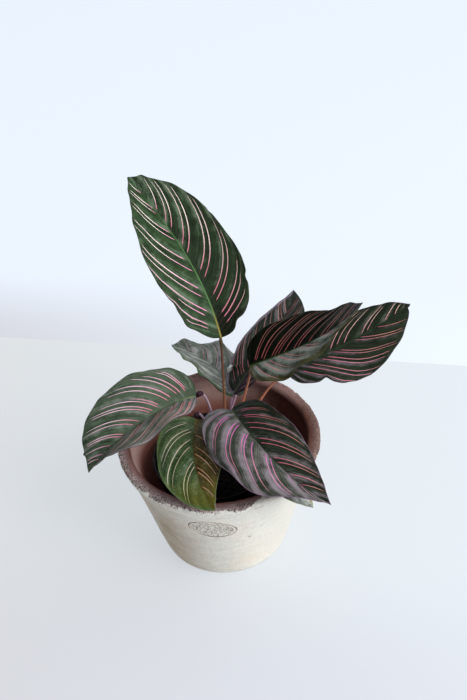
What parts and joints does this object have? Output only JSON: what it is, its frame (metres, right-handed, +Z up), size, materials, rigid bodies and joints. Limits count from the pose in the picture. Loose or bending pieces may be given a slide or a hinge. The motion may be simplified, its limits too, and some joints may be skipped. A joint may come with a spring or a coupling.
{
  "type": "potted pinstripe calathea",
  "caption": "Pinstripe calathea with pink-striped oval leaves on slim stalks, in a black grower's pot that stands inside a limewashed terracotta pot",
  "frame": {"origin": "the middle of the terracotta pot's underside, where it meets the table", "axes": "+Z up along the pot's axis; -Y towards the front, the side that the picture shows; +X to the right"},
  "size_m": [0.2645, 0.2159, 0.2981],
  "materials": {
    "terracotta": "unglazed terracotta, limewashed outside, bare and worn on the lip",
    "black_plastic": "thin moulded black plastic",
    "soil": "damp dark potting soil",
    "leaf_green": "very dark green with fine pink stripes, satin; deep purple underneath",
    "leaf_olive": "olive green with pale stripes, satin; purple underneath",
    "stem": "rose to orange-brown stalk, slightly glossy"
  },
  "bodies": {
    "root": {"pot": "terracotta", "nursery_pot": "black_plastic", "soil": "soil", "leaf_tall": "leaf_green", "leaf_left": "leaf_green", "leaf_front_small": "leaf_olive", "leaf_front_large": "leaf_green", "leaf_front_under": "leaf_green", "leaf_back_left": "leaf_green", "leaf_back_upright": "leaf_green", "leaf_right": "leaf_green", "leaf_far_right": "leaf_green", "stem_tall": "stem", "stem_left": "stem", "stem_front_small": "stem", "stem_front_large": "stem", "stem_front_under": "stem", "stem_back_left": "stem", "stem_back_upright": "stem", "stem_right": "stem", "stem_far_right": "stem"}
  },
  "joints": []
}
